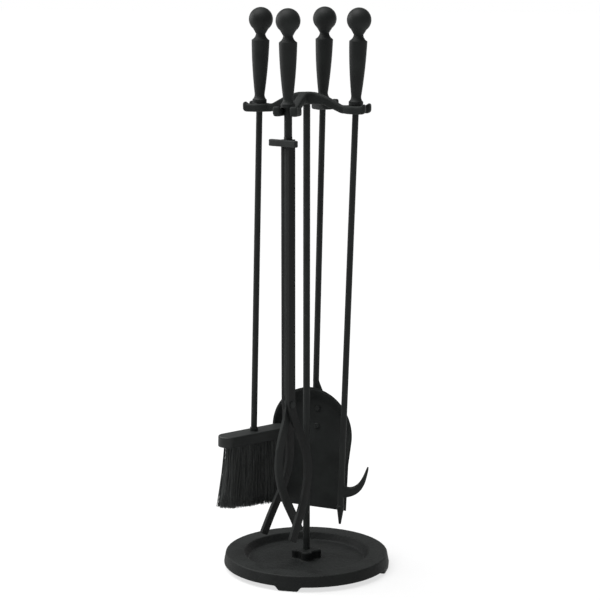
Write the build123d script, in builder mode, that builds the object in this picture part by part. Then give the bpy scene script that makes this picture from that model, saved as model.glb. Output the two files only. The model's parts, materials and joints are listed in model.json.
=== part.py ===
from build123d import *
import math
import os

# Fireplace tool set: a round cast base on four feet, a round post, a four-armed cast hanger, and four
# lift-off tools (brush, tongs, shovel and poker) that hang by the flares of their ball-ended handles.
# Millimetres, +Z up. The origin is where the post's axis meets the floor, so z = 0 is the feet's underside.
# Headings are degrees about Z from +X. The poker hangs at 0, the shovel at 90, the brush at 180 and the
# tongs at 270.

# ---- Driving dimensions ------------------------------------------------------------------------

# clearances
fit_gap = 0.3              # between pieces that move apart and don't guide each other
thread_clearance = 0.05    # radial, between a rod's threaded end and its hole
pivot_clearance = 0.05     # radial, between the tongs' rivet and its holes
cut_margin = 1.0           # how far a cutting body runs past what it cuts

# base casting
base_radius = 116.0        # widest, at the bottom edge
rim_draft = 3.0            # how far the rim's outer wall leans in towards its top
rim_width = 25.0           # flat annulus on top of the rim
dish_slope = 7.0           # run of the sloped wall from the rim down to the dish floor
foot_height = 6.0
rim_height = 16.0          # rim top above the casting's underside
dish_floor_wall = 5.5      # thickness of the dish floor
rim_wall = 5.0             # thickness of the hollow rim's walls
channel_lean = 1.0         # hollow's top corner outside the rim's inner edge
cast_round = 1.5           # rounding of the casting's edges
boss_height = 13.0         # above the dish floor
boss_radius = 14.0
boss_lobe_radius = 7.4
boss_lobe_pitch = 13.2     # post axis to a lobe's centre
boss_round = 2.2
boss_heading = 20.0
foot_top_width = 36.0
foot_bottom_width = 26.0
foot_depth = 13.5
foot_inset = 1.5           # foot's outer face inside the base's edge
foot_heading = 7.0

# post and its fasteners
post_radius = 4.8
post_thread_radius = 4.0
washer_radius = 8.5
washer_thickness = 1.6
nut_across_flats = 13.0
nut_thickness = 5.0
nut_pocket_radius = 10.5
nut_pocket_depth = 8.0
thread_stickout = 0.8      # thread end below the nut
thread_chamfer = 0.6
nut_chamfer_angle = 30.0
hub_thread_depth = 11.0

# hanger casting
seat_height = 646.0        # top of the cradles, where the handles' flares rest
arm_reach = 69.5           # post axis to a rod's axis at its seat
arm_width = 12.0
hub_radius = 13.0
hub_rise = 16.5            # hub top above the seats
hub_underside_rise = 0.5   # hub underside above the seats
arm_shoulder = (31.4, 10.0)      # reach and rise of the upper bend
arm_upper_foot = 49.6            # reach where the arm's top meets the seat level
arm_armpit = (36.6, -5.0)        # reach and rise of the lower bend
arm_lower_foot = 50.0
arm_setback = 1.0          # arm's square end behind the slot's round end
cradle_thickness = 11.0
cradle_outer_radius = 17.0
slot_half_width = 6.75
cradle_nose = 17.4         # rod axis to the prongs' ends
tip_rise = 3.2             # the prongs' turned-up ends
tip_length = 6.0
tip_bevel = 3.0

# handles
flare_radius = 9.75
flare_height = 4.5
flare_neck_radius = 6.8
flare_neck_height = 12.0
flare_hollow = (0.25, 0.4)       # a middle point of the flare's curve, as shares of its width and rise
grip_mid_radius = 10.4
grip_mid_height = 48.0
grip_radius = 12.1
grip_height = 84.5
ball_neck_radius = 6.4
ball_neck_height = 92.8
shoulder_hollow = (0.33, 0.4)    # a middle point of the grip's shoulder, as shares of its width and rise
ball_radius = 16.3
ball_collar_radius = 10.4        # where the ball's tapered neck meets it
ball_height = 112.2        # ball centre above the seat
grip_round = 0.8
handle_thread_radius = 3.0
rod_shoulder_height = 30.0
rod_end_height = 106.0

# rods
rod_radius = 4.3
tongs_rod_radius = 5.3

# how far each tool hangs from its cradle's centre, in the play of the slot, in x and y
brush_play = (1.2, 0.4)
tongs_play = (-0.8, -0.3)
shovel_play = (-1.3, -0.4)
poker_play = (0.0, 0.0)

# how far each tool leans, in degrees, with its lower end drifting towards lean_heading
lean_heading = 200.0
brush_lean = 1.2
tongs_lean = 0.0
shovel_lean = 1.27
poker_lean = 1.9

# brush, measured down its rod from the seat
brush_drop = 457.5         # to the block's top
brush_heading = 62.0       # long axis of the block
block_length = 121.0
block_width = 29.0
block_height = 15.0
block_round = 2.0
block_hole_depth = 10.0
ferrule_radius = 5.6
ferrule_height = 4.5
bristle_drop = 88.0        # bristle length below the block
bristle_top_length = 102.0
bristle_top_width = 21.0
bristle_foot_length = 113.0
bristle_foot_shift = -6.0        # the tuft splays towards the block's free end
bristle_foot_width = 29.0
bristle_corner_share = 0.45      # the tuft's corner radius as a share of its width

# shovel, measured down its rod from the seat
pan_drop = 407.0           # to the pan's upper edge
pan_heading = -6.5         # across the pan, left to right
pan_tilt = 6.0             # the pan's mouth towards the post
pan_shift = 1.5            # pan's centre line beside the rod's axis
pan_half_width = 53.5
pan_length = 168.0
pan_gauge = 2.0
rim_depth = 14.0           # height of the raised rim at the pan's upper edge
rim_flare = 16.0           # how far the rim leans outwards over that height
rim_run = 103.0            # length over which the rim fades out
tang_width = 20.0
tang_thickness = 3.5
tang_length = 52.0
tang_top = 14.0            # below the pan's upper edge
tang_round = 4.0
tang_shift = 5.0           # tang's centre line beside the pan's
tang_neck = 12.0
rivet_radius = 2.5
rivet_head_radius = 4.2
rivet_head_height = 2.2
head_round_share = 0.8     # rounding of a rivet's head as a share of its height
rivet_drops = (27.5, 52.0)

# poker, measured down its rod from the seat
spike_drop = 555.0
spike_length = 24.0
spike_shoulder_radius = 5.2
spike_shoulder_height = 3.0
spike_tip_radius = 1.6
hook_heading = 20.0
# hook centre line as (reach, drop below the seat, half depth, half thickness)
hook_stations = (
    (2.6, 533.0, 9.6, 3.7),
    (9.0, 533.0, 7.6, 3.9),
    (16.0, 531.6, 6.4, 3.9),
    (23.6, 526.6, 5.0, 3.5),
    (28.9, 519.0, 3.7, 3.0),
    (32.4, 510.0, 2.6, 2.4),
    (34.9, 501.0, 1.7, 1.7),
    (35.9, 496.6, 0.8, 0.8),
)

# tongs, heights above the floor
tongs_heading = 248.0      # the way the crossbar faces, square to the pivot's axis
arm_top_height = 608.0
bar_depth = 12.7
centre_bar_depth = bar_depth - 2 * fit_gap    # set back, so the crossbar slides across its face
centre_bar_gauge = 4.4
outer_bar_gauge = 4.5
pivot_height = 248.0
pivot_radius = 2.5
pivot_head_radius = 4.6
pivot_head_height = 1.8
bow_start_height = 262.0
# sideways bow of the centre arm below the pivot as (height, offset); the outer arms bow the other way
bow_stations = (
    (228.0, 4.0),
    (208.0, 11.5),
    (190.0, 17.0),
    (170.0, 20.0),
    (150.0, 18.5),
    (130.0, 12.0),
    (110.0, 2.5),
    (90.0, -9.0),
    (66.0, -22.0),
)
# spread of the outer arms along the pivot's axis as (height, offset)
spread_stations = (
    (198.0, 12.0),
    (168.0, 16.5),
    (127.0, 21.0),
    (111.0, 23.0),
    (64.0, 26.5),
)
crossbar_length = 47.5
crossbar_height = 9.0
crossbar_depth = 6.5
crossbar_centre_height = 600.0
crossbar_round = 1.6

# ---- Places worked out from them ---------------------------------------------------------------

rim_top = foot_height + rim_height
rim_outer_radius = base_radius - rim_draft
rim_inner_radius = rim_outer_radius - rim_width
dish_radius = rim_inner_radius - dish_slope
dish_floor = foot_height + dish_floor_wall
boss_top = dish_floor + boss_height
pocket_top = foot_height + nut_pocket_depth
washer_bottom = pocket_top - washer_thickness
nut_bottom = washer_bottom - nut_thickness
post_bottom = nut_bottom - thread_stickout
hub_top = seat_height + hub_rise
hub_underside = seat_height + hub_underside_rise
cradle_bottom = seat_height - cradle_thickness
cradle_end = arm_reach + cradle_nose
arm_end = arm_reach - slot_half_width - arm_setback


def heading_vector(heading):
    """Level unit vector at a heading."""
    angle = math.radians(heading)
    return Vector(math.cos(angle), math.sin(angle), 0)


def tool_plane(arm_heading, lean, play):
    """Seat plane of a hanging tool: x outwards along its arm, z up its leaning rod."""
    raise_by = fit_gap + flare_radius * math.sin(math.radians(lean))
    origin = heading_vector(arm_heading) * arm_reach + Vector(play[0], play[1], seat_height + raise_by)
    drift = heading_vector(lean_heading) * math.sin(math.radians(lean))
    up = Vector(0, 0, math.cos(math.radians(lean))) - drift
    return Plane(origin=origin, x_dir=heading_vector(arm_heading), z_dir=up)


def upright(plane):
    """The plane's x and z directions as a sketch plane, for profiles turned about its z axis."""
    return Plane(origin=plane.origin, x_dir=plane.x_dir, z_dir=-plane.y_dir)


def turned(plane, heading):
    """The plane turned about its own z axis, so that x lies nearest to a heading."""
    return Plane(origin=plane.origin, x_dir=heading_vector(heading), z_dir=plane.z_dir)


def spin_axis(plane):
    return Axis(plane.origin, plane.z_dir)


tools = {
    "brush": tool_plane(180, brush_lean, brush_play),
    "tongs": tool_plane(270, tongs_lean, tongs_play),
    "shovel": tool_plane(90, shovel_lean, shovel_play),
    "poker": tool_plane(0, poker_lean, poker_play),
}
shaft_radius = {"brush": rod_radius, "tongs": tongs_rod_radius, "shovel": rod_radius, "poker": rod_radius}

os.makedirs("parts", exist_ok=True)

# ---- Base --------------------------------------------------------------------------------------

with BuildPart() as base:
    with BuildSketch(Plane.XZ):
        with BuildLine():
            Polyline(
                (0, foot_height),
                (base_radius, foot_height),
                (rim_outer_radius, rim_top),
                (rim_inner_radius, rim_top),
                (dish_radius, dish_floor),
                (0, dish_floor),
                close=True,
            )
        make_face()
    revolve(axis=Axis.Z)
    fillet(base.edges().filter_by(GeomType.CIRCLE), cast_round)
    # hollow underside of the rim
    with BuildSketch(Plane.XZ):
        with BuildLine():
            Polyline(
                (dish_radius + rim_wall, foot_height),
                (base_radius - rim_wall, foot_height),
                (rim_outer_radius - rim_wall, rim_top - rim_wall),
                (rim_inner_radius + channel_lean, rim_top - rim_wall),
                close=True,
            )
        make_face()
    revolve(axis=Axis.Z, mode=Mode.SUBTRACT)
    # four-lobed boss round the post
    with BuildSketch(Plane.XY.offset(dish_floor)):
        Circle(boss_radius)
        with PolarLocations(boss_lobe_pitch, 4, boss_heading):
            Circle(boss_lobe_radius)
    extrude(amount=boss_height)
    fillet(base.faces().sort_by(Axis.Z)[-1].edges(), boss_round)
    # feet
    for quarter in range(4):
        radial = heading_vector(foot_heading + 90 * quarter)
        foot_plane = Plane(
            origin=radial * (base_radius - foot_inset - foot_depth),
            x_dir=Vector(-radial.Y, radial.X, 0),
            z_dir=radial,
        )
        with BuildSketch(foot_plane):
            with BuildLine():
                Polyline(
                    (-foot_bottom_width / 2, 0),
                    (foot_bottom_width / 2, 0),
                    (foot_top_width / 2, foot_height),
                    (foot_top_width / 2, foot_height + rim_wall),
                    (-foot_top_width / 2, foot_height + rim_wall),
                    (-foot_top_width / 2, foot_height),
                    close=True,
                )
            make_face()
        extrude(amount=foot_depth)
    # the post's hole and the pocket for its washer and nut
    with Locations((0, 0, boss_top)):
        Hole(post_thread_radius + thread_clearance)
    with BuildSketch(Plane.XY.offset(foot_height)):
        Circle(nut_pocket_radius)
    extrude(amount=nut_pocket_depth, mode=Mode.SUBTRACT)
base.part.label = "base"
export_step(base.part, "parts/base.step")

# ---- Post, washer and nut ----------------------------------------------------------------------

with BuildPart() as post:
    with BuildSketch(Plane.XY.offset(boss_top)):
        Circle(post_radius)
    extrude(amount=hub_underside - boss_top)
    with BuildSketch(Plane.XY.offset(post_bottom)):
        Circle(post_thread_radius)
    extrude(amount=hub_underside + hub_thread_depth - post_bottom)
    thread_ends = post.edges().filter_by(GeomType.CIRCLE).sort_by(Axis.Z)
    chamfer([thread_ends[0], thread_ends[-1]], thread_chamfer)
post.part.label = "post"
export_step(post.part, "parts/post.step")

with BuildPart() as base_washer:
    with BuildSketch(Plane.XY.offset(washer_bottom)):
        Circle(washer_radius)
        Circle(post_thread_radius + thread_clearance, mode=Mode.SUBTRACT)
    extrude(amount=washer_thickness)
base_washer.part.label = "base_washer"
export_step(base_washer.part, "parts/base_washer.step")

with BuildPart() as base_nut:
    with BuildSketch(Plane.XY.offset(nut_bottom)):
        RegularPolygon(nut_across_flats / 2, 6, major_radius=False)
    extrude(amount=nut_thickness)
    # the corners of the nut's lower face, cut back by a cone
    cone_reach = nut_across_flats / math.sqrt(3) + cut_margin
    cone_rise = (cone_reach - nut_across_flats / 2) * math.tan(math.radians(nut_chamfer_angle))
    with BuildSketch(Plane.XZ):
        with BuildLine():
            Polyline(
                (nut_across_flats / 2, nut_bottom),
                (cone_reach, nut_bottom),
                (cone_reach, nut_bottom + cone_rise),
                close=True,
            )
        make_face()
    revolve(axis=Axis.Z, mode=Mode.SUBTRACT)
    with Locations((0, 0, nut_bottom + nut_thickness)):
        Hole(post_thread_radius + thread_clearance)
base_nut.part.label = "base_nut"
export_step(base_nut.part, "parts/base_nut.step")

# ---- Hanger ------------------------------------------------------------------------------------

with BuildPart() as cradle:
    with BuildSketch(Plane.XZ):
        with BuildLine():
            Polyline(
                (arm_reach - cradle_outer_radius, cradle_bottom),
                (cradle_end - tip_bevel, cradle_bottom),
                (cradle_end, cradle_bottom + tip_bevel),
                (cradle_end, seat_height + tip_rise - tip_bevel / 2),
                (cradle_end - tip_bevel, seat_height + tip_rise),
                (cradle_end - tip_length, seat_height),
                (arm_reach - cradle_outer_radius, seat_height),
                close=True,
            )
        make_face()
    extrude(amount=cradle_outer_radius, both=True)
    with BuildSketch(Plane.XY.offset(cradle_bottom)):
        with Locations((arm_reach, 0)):
            Circle(cradle_outer_radius)
        with Locations((arm_reach + cradle_nose / 2, 0)):
            Rectangle(cradle_nose, 2 * cradle_outer_radius)
    extrude(amount=2 * cradle_thickness, mode=Mode.INTERSECT)
    with BuildSketch(Plane.XY.offset(cradle_bottom)):
        with Locations((arm_reach, 0)):
            Circle(slot_half_width)
        with Locations((arm_reach + cradle_nose, 0)):
            Rectangle(2 * cradle_nose, 2 * slot_half_width)
    extrude(amount=2 * cradle_thickness, mode=Mode.SUBTRACT)

with BuildPart() as arm:
    with BuildSketch(Plane.XZ):
        with BuildLine():
            Polyline(
                (0, hub_underside),
                (arm_armpit[0] - hub_radius, hub_underside),
                (arm_armpit[0], seat_height + arm_armpit[1]),
                (arm_lower_foot, cradle_bottom),
                (arm_end, cradle_bottom),
                (arm_end, seat_height),
                (arm_upper_foot, seat_height),
                (arm_shoulder[0], seat_height + arm_shoulder[1]),
                (hub_radius, hub_top),
                (0, hub_top),
                close=True,
            )
        make_face()
    extrude(amount=arm_width / 2, both=True)

with BuildPart() as hanger:
    with PolarLocations(0, 4):
        add(arm.part)
        add(cradle.part)
    with BuildSketch(Plane.XY.offset(hub_underside)):
        Circle(hub_radius)
    extrude(amount=hub_top - hub_underside)
    with BuildSketch(Plane.XY.offset(hub_underside)):
        Circle(post_thread_radius + thread_clearance)
    extrude(amount=hub_thread_depth, mode=Mode.SUBTRACT)
hanger.part.label = "hanger"
export_step(hanger.part, "parts/hanger.step")

# ---- Handles and rods --------------------------------------------------------------------------

rods = {}
for tool_name, plane in tools.items():
    with BuildPart() as grip:
        with BuildSketch(upright(plane)):
            with BuildLine():
                Line((0, 0), (flare_radius, 0))
                Line((flare_radius, 0), (flare_radius, flare_height))
                flare_middle = (
                    flare_neck_radius + flare_hollow[0] * (flare_radius - flare_neck_radius),
                    flare_height + flare_hollow[1] * (flare_neck_height - flare_height),
                )
                ThreePointArc(
                    (flare_radius, flare_height), flare_middle, (flare_neck_radius, flare_neck_height)
                )
                ThreePointArc(
                    (flare_neck_radius, flare_neck_height),
                    (grip_mid_radius, grip_mid_height),
                    (grip_radius, grip_height),
                )
                shoulder_middle = (
                    ball_neck_radius + shoulder_hollow[0] * (grip_radius - ball_neck_radius),
                    grip_height + shoulder_hollow[1] * (ball_neck_height - grip_height),
                )
                ThreePointArc(
                    (grip_radius, grip_height), shoulder_middle, (ball_neck_radius, ball_neck_height)
                )
                Line((ball_neck_radius, ball_neck_height), (0, ball_neck_height))
                Line((0, ball_neck_height), (0, 0))
            make_face()
        revolve(axis=spin_axis(plane))
        rims = grip.edges().filter_by(GeomType.CIRCLE).sort_by(SortBy.RADIUS)
        fillet(rims[-3:], grip_round)
        with BuildSketch(plane):
            Circle(shaft_radius[tool_name] + thread_clearance)
        extrude(amount=rod_shoulder_height, mode=Mode.SUBTRACT)
        with BuildSketch(plane.offset(rod_shoulder_height)):
            Circle(handle_thread_radius + thread_clearance)
        extrude(amount=ball_neck_height, mode=Mode.SUBTRACT)
    grip.part.label = f"{tool_name}_grip"
    export_step(grip.part, f"parts/{tool_name}_grip.step")

    with BuildPart() as ball:
        with BuildSketch(upright(plane)):
            with BuildLine():
                collar_height = ball_height - math.sqrt(ball_radius**2 - ball_collar_radius**2)
                Line((0, ball_neck_height), (ball_neck_radius, ball_neck_height))
                Line((ball_neck_radius, ball_neck_height), (ball_collar_radius, collar_height))
                ThreePointArc(
                    (ball_collar_radius, collar_height),
                    (ball_radius, ball_height),
                    (0, ball_height + ball_radius),
                )
                Line((0, ball_height + ball_radius), (0, ball_neck_height))
            make_face()
        revolve(axis=spin_axis(plane))
        with BuildSketch(plane.offset(ball_neck_height)):
            Circle(handle_thread_radius + thread_clearance)
        extrude(amount=rod_end_height - ball_neck_height, mode=Mode.SUBTRACT)
    ball.part.label = f"{tool_name}_ball"
    export_step(ball.part, f"parts/{tool_name}_ball.step")

# ---- Brush -------------------------------------------------------------------------------------

brush = tools["brush"]
block_top = turned(brush, brush_heading).offset(-brush_drop)

with BuildPart() as brush_rod:
    with BuildSketch(block_top):
        Circle(rod_radius)
    extrude(amount=brush_drop + rod_shoulder_height)
    with BuildSketch(block_top.offset(-block_hole_depth)):
        Circle(handle_thread_radius)
    extrude(amount=block_hole_depth + brush_drop + rod_end_height)
    with BuildSketch(block_top):
        Circle(ferrule_radius)
    extrude(amount=ferrule_height)
brush_rod.part.label = "brush_rod"
export_step(brush_rod.part, "parts/brush_rod.step")

with BuildPart() as brush_block:
    with BuildSketch(block_top.offset(-block_height)):
        SlotOverall(block_length, block_width)
    extrude(amount=block_height)
    block_face = brush_block.faces().sort_by(Axis(block_top.origin, block_top.z_dir))[-1]
    fillet(block_face.edges(), block_round)
    with BuildSketch(block_top.offset(-block_hole_depth)):
        Circle(handle_thread_radius + thread_clearance)
    extrude(amount=block_hole_depth + cut_margin, mode=Mode.SUBTRACT)
brush_block.part.label = "brush_block"
export_step(brush_block.part, "parts/brush_block.step")

with BuildPart() as brush_bristles:
    with BuildSketch(block_top.offset(-block_height)):
        top_corner = bristle_top_width * bristle_corner_share
        RectangleRounded(bristle_top_length, bristle_top_width, top_corner)
    with BuildSketch(block_top.offset(-block_height - bristle_drop)):
        with Locations((bristle_foot_shift, 0)):
            foot_corner = bristle_foot_width * bristle_corner_share
            RectangleRounded(bristle_foot_length, bristle_foot_width, foot_corner)
    loft()
brush_bristles.part.label = "brush_bristles"
export_step(brush_bristles.part, "parts/brush_bristles.step")

# ---- Shovel ------------------------------------------------------------------------------------

shovel = tools["shovel"]
across = heading_vector(pan_heading)
level_normal = Vector(across.Y, -across.X, 0)
tilt = math.radians(pan_tilt)
pan_normal = level_normal * math.cos(tilt) + shovel.z_dir * math.sin(tilt)
tang_offset = pan_gauge + tang_thickness / 2
pan_plane = Plane(
    origin=shovel.origin - shovel.z_dir * pan_drop + pan_normal * tang_offset + across * pan_shift,
    x_dir=across,
    z_dir=pan_normal,
)
dome_centre = -rim_flare - pan_half_width
rivet_places = [(tang_shift, -drop) for drop in rivet_drops]


def floor_outline(spread):
    """Closed outline of the pan's flat floor, round at the top, grown by spread."""
    Line((-pan_half_width - spread, -pan_length), (pan_half_width + spread, -pan_length))
    Line((pan_half_width + spread, -pan_length), (pan_half_width + spread, dome_centre))
    ThreePointArc(
        (pan_half_width + spread, dome_centre),
        (0, dome_centre + pan_half_width + spread),
        (-pan_half_width - spread, dome_centre),
    )
    Line((-pan_half_width - spread, dome_centre), (-pan_half_width - spread, -pan_length))


rim_angle = math.degrees(math.atan2(rim_flare, rim_depth))
rim_slope = math.radians(rim_angle)
wall_spread = pan_gauge / math.cos(rim_slope) - pan_gauge * math.tan(rim_slope)
pan_side = Plane(origin=pan_plane.origin, x_dir=pan_plane.y_dir, z_dir=pan_plane.x_dir)
cut_reach = 4 * rim_flare
cut_rise = 4 * rim_depth

with BuildPart() as shovel_pan:
    with BuildSketch(pan_plane.offset(-pan_gauge)):
        with BuildLine():
            floor_outline(wall_spread)
        make_face()
    extrude(amount=pan_gauge + rim_depth + cut_margin, taper=-rim_angle)
    with BuildSketch(pan_plane):
        with BuildLine():
            floor_outline(0)
        make_face()
    extrude(amount=rim_depth + 2 * cut_margin, taper=-rim_angle, mode=Mode.SUBTRACT)
    # the rim's slanted free edge and the straight mouth
    with BuildSketch(pan_side):
        with BuildLine():
            Polyline(
                (-rim_run, 0),
                (pan_gauge, rim_depth * (rim_run + pan_gauge) / rim_run),
                (pan_gauge + cut_reach, cut_rise),
                (-pan_length - cut_reach, cut_rise),
                (-pan_length - cut_reach, 0),
                close=True,
            )
        make_face()
        with Locations((-pan_length - cut_reach / 2, 0)):
            Rectangle(cut_reach, cut_rise)
    extrude(amount=2 * pan_half_width, both=True, mode=Mode.SUBTRACT)
    with Locations(pan_plane):
        with Locations(rivet_places):
            Hole(rivet_radius + thread_clearance)
shovel_pan.part.label = "shovel_pan"
export_step(shovel_pan.part, "parts/shovel_pan.step")

tang_plane = pan_plane.offset(-pan_gauge - tang_thickness)
tang_head = Plane(
    origin=pan_plane.origin - pan_plane.z_dir * tang_offset - pan_plane.y_dir * tang_top,
    x_dir=pan_plane.x_dir,
    z_dir=pan_plane.y_dir,
)

with BuildPart() as shovel_rod:
    with BuildSketch(tang_head):
        with Locations((tang_shift, 0)):
            Rectangle(tang_width, tang_thickness)
    with BuildSketch(shovel.offset(-pan_drop + tang_neck)):
        Circle(rod_radius)
    loft()
    with BuildSketch(shovel.offset(-pan_drop + tang_neck)):
        Circle(rod_radius)
    extrude(amount=pan_drop - tang_neck + rod_shoulder_height)
    with BuildSketch(shovel.offset(-pan_drop + tang_neck)):
        Circle(handle_thread_radius)
    extrude(amount=pan_drop - tang_neck + rod_end_height)
    with BuildSketch(tang_plane):
        with Locations((tang_shift, -tang_top - tang_length / 2)):
            Rectangle(tang_width, tang_length)
    extrude(amount=tang_thickness)
    foot_edges = shovel_rod.edges().filter_by(Axis(pan_plane.origin, pan_plane.z_dir))
    fillet(foot_edges.sort_by(Axis.Z)[:2], tang_round)
    with Locations(pan_plane):
        with Locations(rivet_places):
            Hole(rivet_radius + thread_clearance)
shovel_rod.part.label = "shovel_rod"
export_step(shovel_rod.part, "parts/shovel_rod.step")

with BuildPart() as shovel_rivets:
    for place in rivet_places:
        rivet_plane = Plane(pan_plane.location * Location((place[0], place[1], 0)))
        with BuildSketch(rivet_plane):
            Circle(rivet_head_radius)
        extrude(amount=rivet_head_height)
        level_faces = shovel_rivets.faces().filter_by(rivet_plane)
        head_top = level_faces.sort_by(Axis(rivet_plane.origin, rivet_plane.z_dir))[-1]
        fillet(head_top.edges(), rivet_head_height * head_round_share)
        with BuildSketch(rivet_plane):
            Circle(rivet_radius)
        extrude(amount=-pan_gauge - tang_thickness)
        with BuildSketch(rivet_plane.offset(-pan_gauge - tang_thickness)):
            Circle(rivet_head_radius)
        extrude(amount=-rivet_head_height / 2)
shovel_rivets.part.label = "shovel_rivets"
export_step(shovel_rivets.part, "parts/shovel_rivets.step")

# ---- Poker -------------------------------------------------------------------------------------

poker = tools["poker"]

with BuildPart() as poker_rod:
    with BuildSketch(poker.offset(-spike_drop)):
        Circle(rod_radius)
    extrude(amount=spike_drop + rod_shoulder_height)
    with BuildSketch(poker.offset(-spike_drop)):
        Circle(handle_thread_radius)
    extrude(amount=spike_drop + rod_end_height)
    with BuildSketch(upright(poker)):
        with BuildLine():
            Polyline(
                (0, -spike_drop + spike_shoulder_height),
                (rod_radius, -spike_drop + spike_shoulder_height),
                (spike_shoulder_radius, -spike_drop + spike_shoulder_height / 2),
                (spike_shoulder_radius, -spike_drop),
                (spike_tip_radius, -spike_drop - spike_length),
                (0, -spike_drop - spike_length - spike_tip_radius / 2),
                close=True,
            )
        make_face()
    revolve(axis=spin_axis(poker))
poker_rod.part.label = "poker_rod"
export_step(poker_rod.part, "parts/poker_rod.step")

hook_plane = upright(turned(poker, hook_heading))
with BuildPart() as poker_hook:
    for number, (reach, drop, half_depth, half_thickness) in enumerate(hook_stations):
        before = hook_stations[max(number - 1, 0)]
        after = hook_stations[min(number + 1, len(hook_stations) - 1)]
        along = hook_plane.x_dir * (after[0] - before[0]) - hook_plane.y_dir * (after[1] - before[1])
        centre = hook_plane.origin + hook_plane.x_dir * reach - hook_plane.y_dir * drop
        with BuildSketch(Plane(origin=centre, x_dir=hook_plane.z_dir, z_dir=along)):
            Ellipse(half_thickness, half_depth)
    loft()
    with BuildSketch(poker.offset(-spike_drop)):
        Circle(rod_radius)
    extrude(amount=spike_drop, mode=Mode.SUBTRACT)
poker_hook.part.label = "poker_hook"
export_step(poker_hook.part, "parts/poker_hook.step")

# ---- Tongs -------------------------------------------------------------------------------------

tongs = tools["tongs"]
facing = heading_vector(tongs_heading)
pivot_line = Vector(-facing.Y, facing.X, 0)
tongs_foot = Vector(tongs.origin.X, tongs.origin.Y, 0)
bow_plane = Plane(origin=tongs_foot, x_dir=facing, z_dir=-pivot_line)
spread_plane = Plane(origin=tongs_foot, x_dir=pivot_line, z_dir=facing)
pivot_plane = Plane(
    origin=tongs_foot + Vector(0, 0, pivot_height),
    x_dir=facing,
    z_dir=pivot_line,
)


def strip(stations, top, width):
    """Closed outline of a bar that runs straight down from its top and then follows the stations."""
    left = []
    right = []
    for number, (height, offset) in enumerate(stations):
        before = stations[max(number - 1, 0)]
        after = stations[min(number + 1, len(stations) - 1)]
        fall = math.atan2(after[1] - before[1], before[0] - after[0]) if number else 0.0
        half_run = width / 2 * math.cos(fall)
        half_rise = width / 2 * math.sin(fall)
        left.append((offset - half_run, height - half_rise))
        right.append((offset + half_run, height + half_rise))
    left_end = (left[-1][0] - left[-2][0], left[-1][1] - left[-2][1])
    right_end = (right[-1][0] - right[-2][0], right[-1][1] - right[-2][1])
    Line((left[0][0], top), (right[0][0], top))
    Line((left[0][0], top), left[0])
    Line((right[0][0], top), right[0])
    Spline(*left, tangents=[(0, -1), left_end])
    Spline(*right, tangents=[(0, -1), right_end])
    Line(left[-1], right[-1])


centre_bow = [(bow_start_height, 0.0), *bow_stations]
outer_bow = [(height, -offset) for height, offset in centre_bow]
outer_bar_middle = centre_bar_gauge / 2 + fit_gap + outer_bar_gauge / 2
outer_arm_top = crossbar_centre_height + crossbar_height / 2
spread_run = [(pivot_height, outer_bar_middle), *spread_stations]

with BuildPart() as tongs_rod:
    with BuildSketch(Plane(origin=tongs_foot).offset(arm_top_height)):
        Circle(tongs_rod_radius)
    extrude(amount=tongs.origin.Z + rod_shoulder_height - arm_top_height)
    with BuildSketch(tongs):
        Circle(handle_thread_radius)
    extrude(amount=rod_end_height)
tongs_rod.part.label = "tongs_rod"
export_step(tongs_rod.part, "parts/tongs_rod.step")

with BuildPart() as tongs_centre_arm:
    with BuildSketch(bow_plane):
        with BuildLine():
            strip(centre_bow, arm_top_height, centre_bar_depth)
        make_face()
    extrude(amount=centre_bar_gauge / 2, both=True)
    with BuildSketch(pivot_plane):
        Circle(pivot_radius + pivot_clearance)
    extrude(amount=outer_bar_middle, both=True, mode=Mode.SUBTRACT)
tongs_centre_arm.part.label = "tongs_centre_arm"
export_step(tongs_centre_arm.part, "parts/tongs_centre_arm.step")

for side_name, side in (("left", -1), ("right", 1)):
    side_run = [(height, side * offset) for height, offset in spread_run]
    with BuildPart() as outer_arm:
        with BuildSketch(bow_plane):
            with BuildLine():
                strip(outer_bow, outer_arm_top, bar_depth)
            make_face()
        extrude(amount=2 * crossbar_length, both=True)
        with BuildSketch(spread_plane):
            with BuildLine():
                strip(side_run, outer_arm_top + cut_margin, outer_bar_gauge)
            make_face()
        extrude(amount=2 * crossbar_length, both=True, mode=Mode.INTERSECT)
        with BuildSketch(pivot_plane):
            Circle(pivot_radius + pivot_clearance)
        extrude(amount=2 * outer_bar_middle, both=True, mode=Mode.SUBTRACT)
    outer_arm.part.label = f"tongs_{side_name}_arm"
    export_step(outer_arm.part, f"parts/tongs_{side_name}_arm.step")

with BuildPart() as tongs_crossbar:
    with BuildSketch(spread_plane.offset(bar_depth / 2)):
        with Locations((0, crossbar_centre_height)):
            Rectangle(crossbar_length, crossbar_height)
    extrude(amount=crossbar_depth)
    fillet(tongs_crossbar.edges(), crossbar_round)
tongs_crossbar.part.label = "tongs_crossbar"
export_step(tongs_crossbar.part, "parts/tongs_crossbar.step")

with BuildPart() as tongs_pivot_rivet:
    rivet_reach = outer_bar_middle + outer_bar_gauge / 2 + fit_gap
    with BuildSketch(pivot_plane):
        Circle(pivot_radius)
    extrude(amount=rivet_reach, both=True)
    for side in (-1, 1):
        with BuildSketch(pivot_plane.offset(side * rivet_reach)):
            Circle(pivot_head_radius)
        extrude(amount=side * pivot_head_height)
    rivet_ends = tongs_pivot_rivet.faces().sort_by(Axis(pivot_plane.origin, pivot_plane.z_dir))
    fillet(rivet_ends[0].edges() + rivet_ends[-1].edges(), pivot_head_height * head_round_share)
tongs_pivot_rivet.part.label = "tongs_pivot_rivet"
export_step(tongs_pivot_rivet.part, "parts/tongs_pivot_rivet.step")
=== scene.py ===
"""Looks of the fireplace tool set: castings, forged and turned steel, bristles, floor, lights and camera."""

import json
import math

import bpy
import numpy as np
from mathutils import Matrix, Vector, noise


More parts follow.
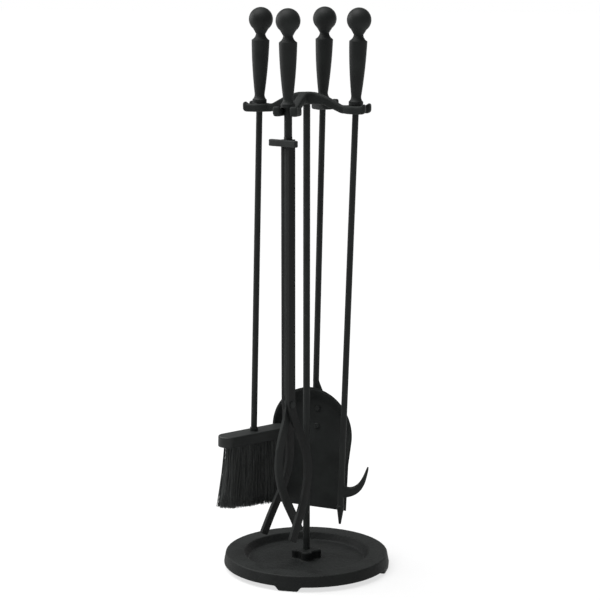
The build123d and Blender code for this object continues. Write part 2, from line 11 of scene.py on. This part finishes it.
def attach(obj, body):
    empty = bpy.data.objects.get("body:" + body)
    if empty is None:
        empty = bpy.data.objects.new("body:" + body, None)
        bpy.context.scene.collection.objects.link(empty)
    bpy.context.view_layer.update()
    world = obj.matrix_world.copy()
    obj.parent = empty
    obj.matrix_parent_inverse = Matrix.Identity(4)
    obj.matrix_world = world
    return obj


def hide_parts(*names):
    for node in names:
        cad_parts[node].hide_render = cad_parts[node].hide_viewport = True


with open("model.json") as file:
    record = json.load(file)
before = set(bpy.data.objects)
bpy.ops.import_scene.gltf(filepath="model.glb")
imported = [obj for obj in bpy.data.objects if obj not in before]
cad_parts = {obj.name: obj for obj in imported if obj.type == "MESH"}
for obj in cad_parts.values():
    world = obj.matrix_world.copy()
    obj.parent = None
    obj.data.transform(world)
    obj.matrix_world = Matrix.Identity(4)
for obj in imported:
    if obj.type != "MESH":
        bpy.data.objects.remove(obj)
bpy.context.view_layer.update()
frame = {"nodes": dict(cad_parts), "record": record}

MM = 0.001
rng = np.random.default_rng(7)

# ---- Named values, in metres and degrees ---------------------------------------------------------

CAMERA_PLACE = (0.8294, -2.3053, 0.813)
CAMERA_TURN = (79.95, 0.0, 20.0)
CAMERA_LENS = 108.96
SENSOR = 36.0

WHITE = (1.0, 1.0, 1.0, 1.0)
FLOOR_REACH = 40.0
FLOOR_GAP = 0.2 * MM       # below the feet
PAPER_GREY = (0.2, 0.2, 0.2, 1.0)
PAPER_GLOW = 0.7           # with the lamps' light this makes the floor near white
ROOM_GLOW = 0.28           # light from all round, while the backdrop itself is seen as white
SUN_SPREAD = 50.0          # apparent width of the soft overhead light

COAT_BLACK = (0.0062, 0.0072, 0.0069)
COAT_DUSTY = (0.0150, 0.0172, 0.0164)
COAT_WORN = (0.0420, 0.0460, 0.0445)
WOOD_BLACK = (0.0100, 0.0114, 0.0110)
FIBRE_DARK = (0.0215, 0.0236, 0.0229)
FIBRE_LIGHT = (0.0800, 0.0862, 0.0834)

CASTING_VOXEL = 0.9 * MM
CASTING_SMOOTHING = {"base": 7, "hanger": 45}
CASTING_SMOOTH_FACTOR = 0.5
CASTING_SKIN = 0.10 * MM   # height of the cast skin's unevenness
CASTING_GRAIN = 3.2 * MM   # size of its largest bumps
SKIN_DIMENSION = 0.6       # the skin's fractal: dimension, lacunarity and octaves
SKIN_LACUNARITY = 2.0
SKIN_OCTAVES = 3

EASED_SHARPNESS = 40       # degrees between faces from which an edge is eased
EASED_SEGMENTS = 3
EASED_EDGES = {
    "tongs_centre_arm": 0.8 * MM,
    "tongs_left_arm": 0.8 * MM,
    "tongs_right_arm": 0.8 * MM,
    "brush_block": 0.9 * MM,
    "shovel_pan": 0.45 * MM,
}

# bristles, where the root is in the block and the tip is at the foot
STRAND_SIDES = 3
STRAND_TAPER = 0.35        # share of its width that a strand loses from root to tip
STRAND_WIDTHS = (0.8, 1.15)      # least and greatest share of the named width
STRAND_LAG = 1.25          # above 1, a strand leaves the block straight and splays lower down
STRAND_SWAY = 0.9 * MM
ROOT_INSET = 1.5 * MM      # from the tuft's outline
TIP_INSET = 1.8 * MM
ROOT_CROWDING = 0.8        # share of the tuft's spread that its roots take
TIP_SCATTER = (1.1, 1.2)   # along and across the block, as shares of a tuft's pitch
CORNER_SHARE = 0.45        # part of the tuft's half size that its rounded corners take
CORNER_PULL = 0.16         # how far a corner point moves in
WAVE_PITCH = (3.1, 1.2, 4.2)     # waves along and across the foot's edge, and where they start
TUFT_SHADES = 0.35         # greatest tone of a tuft, and of a strand within it
STRAND_SHADES = 0.65
TUFT_ROWS = 6
TUFT_COLUMNS = 26
FILAMENTS_PER_TUFT = 22
FILAMENT_WIDTH = 0.62 * MM
FILAMENT_RINGS = 6
TUFT_SPREAD = 1.5 * MM
TIP_RISE = 0.3 * MM        # of every tip above the tuft's foot, then the edge's waves and raggedness
TIP_WAVE = 1.8 * MM
TIP_RAGGED = 1.1 * MM
FOOT_FALL = 7.0 * MM       # how much further the inner end of the tuft hangs down
FOOT_CURVE = 1.7           # above 1, most of that fall is near the outer end
END_DEPTH = 4.0 * MM       # the tuft's ends lean, so each end's corners lie within this height
CORE_INSET = 4.0 * MM
CORE_RISE = 9.0 * MM


# ---- Materials -----------------------------------------------------------------------------------


class Surface:
    """A node material, with short calls for the nodes that these surfaces share."""

    def __init__(self, name):
        self.material = bpy.data.materials.new(name)
        self.material.use_nodes = True
        self.tree = self.material.node_tree
        self.shader = self.tree.nodes["Principled BSDF"]
        self.place = self.add("ShaderNodeTexCoord").outputs["Object"]

    def add(self, kind, inputs=None, **settings):
        node = self.tree.nodes.new(kind)
        for key, value in settings.items():
            setattr(node, key, value)
        for key, value in (inputs or {}).items():
            self.feed(node.inputs[key], value)
        return node

    def feed(self, socket, value):
        if isinstance(value, bpy.types.NodeSocket):
            self.tree.links.new(value, socket)
        else:
            socket.default_value = value

    def set(self, **values):
        for key, value in values.items():
            self.feed(self.shader.inputs[key.replace("_", " ")], value)

    def noise(self, size, detail=3.0, roughness=0.55, place=None):
        """Noise whose features are about size metres across, from 0 to 1."""
        inputs = {"Vector": place or self.place, "Scale": 1 / size, "Detail": detail}
        inputs["Roughness"] = roughness
        return self.add("ShaderNodeTexNoise", inputs).outputs["Fac"]

    def stretch(self, x, y, z):
        """The place, scaled along each axis, for grain and streaks."""
        return self.add("ShaderNodeMapping", {"Vector": self.place, "Scale": (x, y, z)}).outputs["Vector"]

    def band(self, value, low, high, to_low=0.0, to_high=1.0):
        inputs = {"Value": value, "From Min": low, "From Max": high, "To Min": to_low, "To Max": to_high}
        return self.add("ShaderNodeMapRange", inputs, interpolation_type="SMOOTHSTEP").outputs["Result"]

    def math(self, operation, a, b):
        return self.add("ShaderNodeMath", {0: a, 1: b}, operation=operation).outputs["Value"]

    def blend(self, share, a, b):
        node = self.add("ShaderNodeMix", data_type="RGBA")
        self.feed(node.inputs["Factor"], share)
        for socket, colour in ((node.inputs["A"], a), (node.inputs["B"], b)):
            self.feed(socket, colour if isinstance(colour, bpy.types.NodeSocket) else (*colour, 1.0))
        return node.outputs["Result"]

    def bump(self, height, distance, strength=1.0, normal=None):
        inputs = {"Height": height, "Distance": distance, "Strength": strength}
        node = self.add("ShaderNodeBump", inputs)
        if normal is not None:
            self.feed(node.inputs["Normal"], normal)
        return node.outputs["Normal"]

    def facing_up(self):
        normal = self.add("ShaderNodeNewGeometry").outputs["Normal"]
        return self.add("ShaderNodeSeparateXYZ", {"Vector": normal}).outputs["Z"]

    def edges(self, radius):
        """About 1 along the object's sharp edges and 0 on its faces."""
        rounded = self.add("ShaderNodeBevel", {"Radius": radius}, samples=4).outputs["Normal"]
        flat = self.add("ShaderNodeNewGeometry").outputs["Normal"]
        product = self.add("ShaderNodeVectorMath", {0: rounded, 1: flat}, operation="DOT_PRODUCT")
        return self.band(product.outputs["Value"], 0.995, 0.86)


def powder_coat(name, grain, grain_height, rough, wear, dust, tone=1.0):
    """Matte black powder coat: mottle, orange peel, dust on what faces up and a little wear on edges."""
    s = Surface(name)
    # tone makes the whole coat lighter or darker; the hanger, tongs-arm, crossbar and post copies use it as
    # painted light and painted shade
    black, dusty, worn = (tuple(tone * c for c in colour) for colour in (COAT_BLACK, COAT_DUSTY, COAT_WORN))
    mottle = s.noise(26 * MM, detail=5.0)
    speckle = s.noise(grain, detail=2.0, roughness=0.7)
    peel = s.noise(grain * 2.6, detail=1.0)
    colour = s.blend(s.band(mottle, 0.3, 0.72, 0.0, 0.55), black, dusty)
    fleck = s.band(speckle, 0.6, 0.78, 0.0, 0.5)
    colour = s.blend(fleck, colour, dusty)
    settled = s.math("MULTIPLY", s.band(s.facing_up(), 0.35, 0.95, 0.0, dust), s.band(mottle, 0.25, 0.65))
    colour = s.blend(settled, colour, dusty)
    rubbed = s.math("MULTIPLY", s.edges(0.9 * MM), s.band(s.noise(9 * MM), 0.45, 0.65, 0.0, wear))
    colour = s.blend(rubbed, colour, worn)
    s.set(Base_Color=colour, Roughness=s.band(mottle, 0.25, 0.75, rough - 0.07, rough + 0.07))
    s.set(Specular_IOR_Level=0.18)
    fine = s.bump(speckle, grain_height)
    s.set(Normal=s.bump(peel, grain_height * 1.6, normal=fine))
    return s.material


def painted_wood(name):
    """Black satin paint over wood, with the grain just showing through along the block."""
    s = Surface(name)
    grain = s.noise(14 * MM, detail=6.0, roughness=0.65, place=s.stretch(1.0, 0.22, 3.4))
    mottle = s.noise(30 * MM)
    tone = s.blend(s.band(grain, 0.35, 0.7, 0.0, 0.7), WOOD_BLACK, COAT_DUSTY)
    rubbed = s.math("MULTIPLY", s.edges(1.0 * MM), s.band(mottle, 0.4, 0.62, 0.0, 0.5))
    s.set(Base_Color=s.blend(rubbed, tone, COAT_WORN))
    s.set(Roughness=s.band(mottle, 0.3, 0.7, 0.42, 0.56), Specular_IOR_Level=0.25)
    s.set(Normal=s.bump(grain, 0.12 * MM))
    return s.material


def fibre(name):
    """Black bristle fibre: each strand has its own tone, with fine streaks down it."""
    s = Surface(name)
    shade = s.add("ShaderNodeAttribute", attribute_name="shade").outputs["Fac"]
    streak = s.noise(2.4 * MM, detail=2.0, place=s.stretch(1.0, 1.0, 0.06))
    tone = s.blend(s.band(s.math("ADD", shade, streak), 0.5, 1.6), FIBRE_DARK, FIBRE_LIGHT)
    s.set(Base_Color=tone, Roughness=0.62, Specular_IOR_Level=0.3)
    s.set(Normal=s.bump(streak, 0.1 * MM))
    return s.material


def black_oxide(name):
    """Oiled black oxide on the nut and washer."""
    s = Surface(name)
    mottle = s.noise(5 * MM, detail=4.0)
    tone = s.blend(s.band(mottle, 0.35, 0.7), COAT_BLACK, COAT_DUSTY)
    rubbed = s.math("MULTIPLY", s.edges(0.5 * MM), 0.6)
    s.set(Base_Color=s.blend(rubbed, tone, COAT_WORN), Metallic=0.6)
    s.set(Roughness=s.band(mottle, 0.3, 0.7, 0.34, 0.5))
    s.set(Normal=s.bump(mottle, 0.03 * MM))
    return s.material


CASTING = {"grain": 1.7 * MM, "grain_height": 0.16 * MM, "rough": 0.66, "wear": 0.5, "dust": 0.7}
STEEL = {"grain": 1.2 * MM, "grain_height": 0.05 * MM, "rough": 0.58, "wear": 0.5, "dust": 0.35}
HANDLE = {"grain": 1.5 * MM, "grain_height": 0.08 * MM, "rough": 0.6, "wear": 0.35, "dust": 0.1}

MATERIALS = {
    "cast_iron": powder_coat("base_coat", **CASTING, tone=0.72),
    # the hanger's coat: a lighter copy of the base's casting coat, painted light
    "hanger_iron_painted_light": powder_coat("hanger_coat_painted_light", **(CASTING | {"dust": 0.1}), tone=1.45),
    "wrought_steel": powder_coat("steel_coat", **STEEL, tone=1.25),
    # the tongs' left and right arms: a darker copy of the steel coat, painted shade
    "arm_steel_painted_shade": powder_coat("arm_coat_painted_shade", **STEEL, tone=0.65),
    # the crossbar and post: a lighter copy of the steel coat, painted light
    "bar_steel_painted_light": powder_coat("bar_coat_painted_light", **STEEL, tone=1.6),
    "handle": powder_coat("handle_coat", **HANDLE, tone=1.2),
    "fastener": black_oxide("oxide"),
    "brush_wood": painted_wood("painted_wood"),
    "bristle": fibre("fibre"),
}
# parts that take a painted-light or painted-shade copy of their coat in place of their slot's coat
PAINTED_LIGHT_COATS = {
    "hanger": "hanger_iron_painted_light",
    "tongs_left_arm": "arm_steel_painted_shade",
    "tongs_right_arm": "arm_steel_painted_shade",
    "tongs_crossbar": "bar_steel_painted_light",
    "post": "bar_steel_painted_light",
}


slots = {part["node"]: part["material_slot"] for part in frame["record"]["subparts"]}


def dress(piece, node):
    piece.data.materials.clear()
    piece.data.materials.append(MATERIALS[PAINTED_LIGHT_COATS.get(node, slots[node])])


# ---- Pieces that keep the CAD shape --------------------------------------------------------------

body_of_node = {
    node: body for body, nodes in frame["record"]["behaviour"]["bodies"].items() for node in nodes
}
for node, piece in frame["nodes"].items():
    dress(piece, node)


# ---- Castings: the same shape with its edges and skin as a sand casting has them -----------------


def standing_in(mesh, name, node):
    """A new object for the mesh that rides where the CAD node does and takes its place."""
    piece = bpy.data.objects.new(name, mesh)
    bpy.context.scene.collection.objects.link(piece)
    dress(piece, node)
    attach(piece, body_of_node[node])
    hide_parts(node)
    return piece


def with_modifiers(mesh, *modifiers):
    """A new mesh: this one with modifiers, given as (kind, settings), applied in turn."""
    holder = bpy.data.objects.new("holder", mesh)
    bpy.context.scene.collection.objects.link(holder)
    for kind, settings in modifiers:
        modifier = holder.modifiers.new(kind, kind)
        for key, value in settings.items():
            setattr(modifier, key, value)
    graph = bpy.context.evaluated_depsgraph_get()
    made = bpy.data.meshes.new_from_object(holder.evaluated_get(graph))
    bpy.data.objects.remove(holder)
    return made


def eased(node, width):
    """A bar or sheet piece whose cut edges are rounded over by width."""
    mesh = with_modifiers(
        frame["nodes"][node].data.copy(),
        ("WELD", {"merge_threshold": 0.002 * MM}),
        ("DECIMATE", {"decimate_type": "DISSOLVE", "angle_limit": math.radians(0.6)}),
        (
            "BEVEL",
            {
                "width": width,
                "segments": EASED_SEGMENTS,
                "limit_method": "ANGLE",
                "angle_limit": math.radians(EASED_SHARPNESS),
                "use_clamp_overlap": True,
                "harden_normals": True,
            },
        ),
    )
    return standing_in(mesh, f"eased_{node}", node)


def casting(node):
    """A cast piece: softened edges and a slightly uneven skin."""
    mesh = with_modifiers(
        frame["nodes"][node].data.copy(),
        ("WELD", {"merge_threshold": 0.001 * MM}),
        ("REMESH", {"mode": "VOXEL", "voxel_size": CASTING_VOXEL, "use_smooth_shade": True}),
        ("SMOOTH", {"factor": CASTING_SMOOTH_FACTOR, "iterations": CASTING_SMOOTHING[node]}),
    )
    places = np.empty(len(mesh.vertices) * 3, np.float32)
    mesh.vertices.foreach_get("co", places)
    normals = np.empty_like(places)
    mesh.vertices.foreach_get("normal", normals)
    places = places.reshape(-1, 3)
    normals = normals.reshape(-1, 3)
    fractal = (SKIN_DIMENSION, SKIN_LACUNARITY, SKIN_OCTAVES)
    skin = np.array([noise.fractal(Vector(p) / CASTING_GRAIN, *fractal) for p in places])
    places += normals * (skin * CASTING_SKIN)[:, None]
    mesh.vertices.foreach_set("co", places.ravel())
    mesh.update()
    return standing_in(mesh, f"cast_{node}", node)


for node in CASTING_SMOOTHING:
    casting(node)
for node, width in EASED_EDGES.items():
    eased(node, width)


# ---- Brush: tufts of filaments set in the block --------------------------------------------------


def flat_box(points, along, across):
    """Middle and half sizes of points along two level directions."""
    low = np.array([(points @ along).min(), (points @ across).min()])
    high = np.array([(points @ along).max(), (points @ across).max()])
    return (low + high) / 2, (high - low) / 2


def bristle_frame():
    """Where the tuft starts and ends: its two directions, and each end's middle, half sizes and height."""
    mesh = frame["nodes"]["brush_bristles"].data
    points = np.array([v.co for v in mesh.vertices], float)
    top = points[points[:, 2] > points[:, 2].max() - END_DEPTH]
    foot = points[points[:, 2] < points[:, 2].min() + END_DEPTH]
    level = top[:, :2] - top[:, :2].mean(axis=0)
    values, vectors = np.linalg.eigh(level.T @ level)
    along = np.array([*vectors[:, values.argmax()], 0.0])
    along *= np.sign(along[1])
    across = np.array([-along[1], along[0], 0.0])
    ends = []
    for loop in (top, foot):
        centre, half = flat_box(loop, along, across)
        slope = np.polyfit(loop @ along, loop[:, 2], 1)
        ends.append((centre, half, slope))
    return along, across, ends


def rounded(u, v):
    """Moves a point of the square -1..1 inside a rounded rectangle's corners."""
    past = max(0.0, min(abs(u), abs(v)) - (1 - CORNER_SHARE))
    excess = max(abs(u), abs(v)) * past / CORNER_SHARE
    shrink = 1 - CORNER_PULL * excess
    return u * shrink, v * shrink


def filament(path, width, phase):
    """Corners and faces of a thin tapering strand along a path."""
    corners = []
    for step, point in enumerate(path):
        share = step / (len(path) - 1)
        radius = width / 2 * (1 - STRAND_TAPER * share)
        for side in range(STRAND_SIDES):
            angle = phase + 2 * math.pi * side / STRAND_SIDES
            corners.append(point + radius * np.array([math.cos(angle), math.sin(angle), 0.0]))
    faces = []
    for step in range(len(path) - 1):
        for side in range(STRAND_SIDES):
            a = step * STRAND_SIDES + side
            b = step * STRAND_SIDES + (side + 1) % STRAND_SIDES
            faces.append((a, b, b + STRAND_SIDES, a + STRAND_SIDES))
    faces.append(tuple(range(len(corners) - STRAND_SIDES, len(corners))))
    return corners, faces


def bristles():
    """The strands, tuft by tuft, and a core that keeps the tuft from being seen through."""
    along, across, ((top_mid, top_half, top_slope), (foot_mid, foot_half, foot_slope)) = bristle_frame()

    def spot(mid, half, slope, u, v, inset):
        a = mid[0] + u * (half[0] - inset)
        b = mid[1] + v * (half[1] - inset)
        point = along * a + across * b
        point[2] = np.polyval(slope, a)
        return point

    corners, faces, shades = [], [], []
    for row in range(TUFT_ROWS):
        for column in range(TUFT_COLUMNS):
            u0 = -1 + 2 * (column + 0.5 * (row % 2) + 0.25) / TUFT_COLUMNS
            v0 = -1 + 2 * (row + 0.5) / TUFT_ROWS
            tuft_shade = rng.uniform(0.0, TUFT_SHADES)
            for _ in range(FILAMENTS_PER_TUFT):
                u, v = rounded(u0, v0)
                root = spot(top_mid, top_half, top_slope, u, v, ROOT_INSET)
                angle, reach = rng.uniform(0, 2 * math.pi), math.sqrt(rng.uniform()) * TUFT_SPREAD
                root += along * math.cos(angle) * reach * ROOT_CROWDING
                root += across * math.sin(angle) * reach * ROOT_CROWDING
                fu, fv = rounded(
                    np.clip(u0 + rng.normal(0, TIP_SCATTER[0] / TUFT_COLUMNS), -1, 1),
                    np.clip(v0 + rng.normal(0, TIP_SCATTER[1] / TUFT_ROWS), -1, 1),
                )
                tip = spot(foot_mid, foot_half, foot_slope, fu, fv, TIP_INSET)
                wave = noise.noise(Vector((fu * WAVE_PITCH[0], fv * WAVE_PITCH[1], WAVE_PITCH[2])))
                tip[2] += TIP_RISE + TIP_WAVE * abs(wave) + rng.exponential(TIP_RAGGED)
                tip[2] -= FOOT_FALL * (1 - ((1 - fu) / 2) ** FOOT_CURVE)
                sway = rng.normal(0, STRAND_SWAY, 2)
                path = []
                for step in range(FILAMENT_RINGS):
                    t = step / (FILAMENT_RINGS - 1)
                    point = root + (tip - root) * t
                    lag = t**STRAND_LAG - t
                    point[:2] += (tip - root)[:2] * lag
                    point[:2] += sway * math.sin(math.pi * t)
                    path.append(point)
                new_corners, new_faces = filament(path, FILAMENT_WIDTH * rng.uniform(*STRAND_WIDTHS), angle)
                start = len(corners)
                corners.extend(new_corners)
                faces.extend([tuple(start + i for i in face) for face in new_faces])
                shades.extend([tuft_shade + rng.uniform(0.0, STRAND_SHADES)] * len(new_corners))
    mesh = bpy.data.meshes.new("bristle_strands")
    mesh.from_pydata([tuple(c) for c in corners], [], faces)
    mesh.shade_smooth()
    shade = mesh.attributes.new("shade", "FLOAT", "POINT")
    shade.data.foreach_set("value", np.array(shades, np.float32))
    mesh.update()
    standing_in(mesh, "bristle_strands", "brush_bristles")

    core = frame["nodes"]["brush_bristles"].data.copy()
    points = np.array([v.co for v in core.vertices], float)
    a = points @ along
    b = points @ across
    top_height = np.polyval(top_slope, a)
    foot_height = np.polyval(foot_slope, a)
    fall = np.clip((top_height - points[:, 2]) / (top_height - foot_height), 0, 1)
    for level, side, axis in ((a, 0, along), (b, 1, across)):
        centre = top_mid[side] + (foot_mid[side] - top_mid[side]) * fall
        size = top_half[side] + (foot_half[side] - top_half[side]) * fall
        points += axis * ((centre - level) * CORE_INSET / size)[:, None]
    points[:, 2] += CORE_RISE * fall
    core.vertices.foreach_set("co", points.astype(np.float32).ravel())
    core.update()
    piece = bpy.data.objects.new("bristle_core", core)
    bpy.context.scene.collection.objects.link(piece)
    dress(piece, "brush_bristles")
    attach(piece, "brush")


bristles()

# ---- Stage: floor, light and camera --------------------------------------------------------------

floor_mesh = bpy.data.meshes.new("floor")
floor_corners = [(x * FLOOR_REACH, y * FLOOR_REACH, 0) for x, y in ((-1, -1), (1, -1), (1, 1), (-1, 1))]
floor_mesh.from_pydata(floor_corners, [], [(0, 1, 2, 3)])
floor = bpy.data.objects.new("floor", floor_mesh)
bpy.context.scene.collection.objects.link(floor)
floor.location.z = -FLOOR_GAP
paper = Surface("floor_paper")
paper.set(Base_Color=PAPER_GREY, Roughness=0.9, Specular_IOR_Level=0.1)
paper.set(Emission_Color=WHITE, Emission_Strength=PAPER_GLOW)
floor.data.materials.append(paper.material)

world = bpy.data.worlds.new("studio")
bpy.context.scene.world = world
world.use_nodes = True
backdrop = world.node_tree.nodes["Background"]
backdrop.inputs["Color"].default_value = WHITE
glow = world.node_tree.nodes.new("ShaderNodeBackground")
glow.inputs["Color"].default_value = WHITE
glow.inputs["Strength"].default_value = ROOM_GLOW
paths = world.node_tree.nodes.new("ShaderNodeLightPath")
choice = world.node_tree.nodes.new("ShaderNodeMixShader")
world.node_tree.links.new(paths.outputs["Is Camera Ray"], choice.inputs["Fac"])
world.node_tree.links.new(glow.outputs["Background"], choice.inputs[1])
world.node_tree.links.new(backdrop.outputs["Background"], choice.inputs[2])
world.node_tree.links.new(choice.outputs["Shader"], world.node_tree.nodes["World Output"].inputs["Surface"])


def lamp(name, kind, place, target, energy, **settings):
    light = bpy.data.lights.new(name, kind)
    light.energy = energy
    for key, value in settings.items():
        setattr(light, key, value)
    holder = bpy.data.objects.new(name, light)
    bpy.context.scene.collection.objects.link(holder)
    holder.location = place
    holder.rotation_euler = (Vector(target) - Vector(place)).to_track_quat("-Z", "Y").to_euler()
    return holder


lamp("soft_sun", "SUN", (-0.9, -0.5, 3.2), (0, 0, 0.3), 4.2, angle=math.radians(SUN_SPREAD))
lamp("side_box", "AREA", (-1.7, 0.1, 1.2), (0, 0, 0.25), 19.0, shape="DISK", size=1.0)
lamp("back_box", "AREA", (0.3, 2.4, 0.9), (0, 0, 0.1), 6.0, shape="DISK", size=1.2)

camera_data = bpy.data.cameras.new("camera")
camera_data.lens = CAMERA_LENS
camera_data.sensor_width = SENSOR
camera = bpy.data.objects.new("camera", camera_data)
bpy.context.scene.collection.objects.link(camera)
camera.location = CAMERA_PLACE
camera.rotation_euler = [math.radians(a) for a in CAMERA_TURN]
bpy.context.scene.camera = camera
bpy.context.scene.view_settings.view_transform = "Standard"
